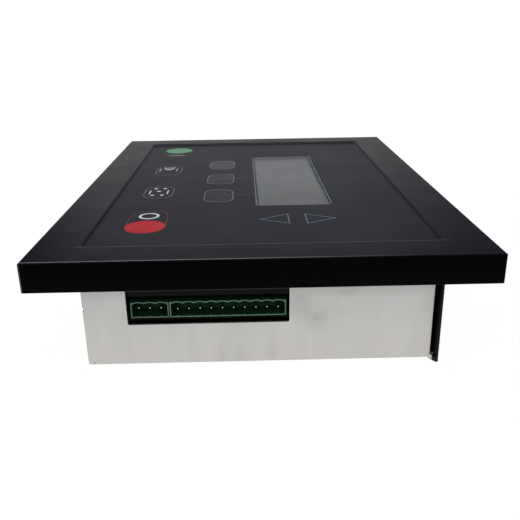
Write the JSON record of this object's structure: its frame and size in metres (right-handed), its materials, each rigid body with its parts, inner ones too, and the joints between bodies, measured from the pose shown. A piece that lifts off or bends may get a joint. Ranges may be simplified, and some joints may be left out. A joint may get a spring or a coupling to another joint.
{
  "type": "air compressor controller",
  "caption": "Panel-mounted compressor controller: framed membrane keypad with a long display, a folded sheet housing behind it and pluggable terminal headers in a side notch.",
  "frame": {"origin": "on the back plate of the rear housing, under the middle of the panel, so that z = 0 is the surface the unit rests on", "axes": "+Z out of the keypad's face, +X along the short side of the panel towards the side cover, +Y along the long side away from the terminals"},
  "size_m": [0.203, 0.282, 0.0574],
  "materials": {
    "panel_plastic": "matt moulded, dark grey",
    "insert_brass": "turned",
    "overlay_film": "matt printed polyester film",
    "spacer_film": "black adhesive film",
    "dome_steel": "spring sheet",
    "circuit_film": "printed silver on dark grey film",
    "socket_plastic": "natural nylon",
    "window_pane": "clear, hard coated",
    "bezel_metal": "black folded sheet",
    "lcd_glass": "unlit grey display glass",
    "light_guide": "clear guide with white foil",
    "circuit_board": "green solder mask",
    "screw_steel": "zinc plated",
    "header_plastic": "green moulded",
    "pin_metal": "tin plated",
    "relay_plastic": "sealed relay case",
    "potting": "potted block",
    "capacitor_can": "sleeved can",
    "chip_plastic": "moulded epoxy",
    "connector_plastic": "moulded nylon",
    "ribbon_plastic": "grey flat cable",
    "housing_steel": "plain galvanised sheet",
    "cover_paint": "black powder coat",
    "print_line": "pale blue ink of thin lines",
    "print_white": "white ink",
    "print_green": "green ink",
    "print_red": "red ink"
  },
  "bodies": {
    "root": {"front_panel": "panel_plastic", "panel_inserts": "insert_brass", "keypad_overlay": "overlay_film", "overlay_spacer": "spacer_film", "snap_domes": "dome_steel", "membrane_circuit": "circuit_film", "tail_socket": "socket_plastic", "display_window": "window_pane", "lcd_bezel": "bezel_metal", "lcd_glass": "lcd_glass", "backlight": "light_guide", "display_board": "circuit_board", "display_screws": "screw_steel", "main_board": "circuit_board", "board_standoffs": "insert_brass", "board_screws": "screw_steel", "header_3_pole": "header_plastic", "header_3_pole_pins": "pin_metal", "header_10_pole": "header_plastic", "header_10_pole_pins": "pin_metal", "relays": "relay_plastic", "transformer": "potting", "capacitors": "capacitor_can", "controller_chip": "chip_plastic", "ribbon_sockets": "connector_plastic", "ribbon_plugs": "connector_plastic", "ribbon_cable": "ribbon_plastic", "rear_housing": "housing_steel", "side_cover": "cover_paint", "floor_screws": "screw_steel", "flange_nuts": "screw_steel", "housing_screws": "screw_steel"}
  },
  "joints": []
}
